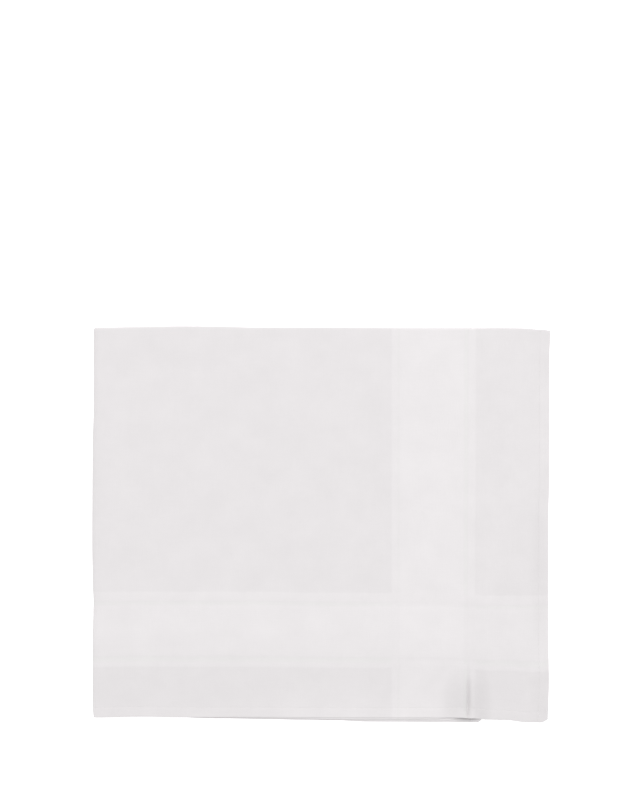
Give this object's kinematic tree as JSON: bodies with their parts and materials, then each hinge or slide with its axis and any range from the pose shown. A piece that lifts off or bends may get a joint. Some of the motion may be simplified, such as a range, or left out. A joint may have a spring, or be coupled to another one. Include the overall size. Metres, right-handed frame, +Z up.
{
  "type": "folded cotton handkerchief",
  "caption": "White cotton handkerchief with a striped woven border and narrow stitched hems, folded in quarters and lying flat.",
  "frame": {"origin": "on the surface that the cloth lies on, under the middle of the folded cloth's bounding box", "axes": "+X along the folded width, from the left crease to the open hemmed side; +Y towards the top crease; +Z up from the surface"},
  "size_m": [0.2286, 0.1988, 0.0058],
  "materials": {
    "cotton": "matt plain-weave white cotton with smoother woven stripes along its borders"
  },
  "bodies": {
    "root": {"handkerchief": "cotton"}
  },
  "joints": []
}
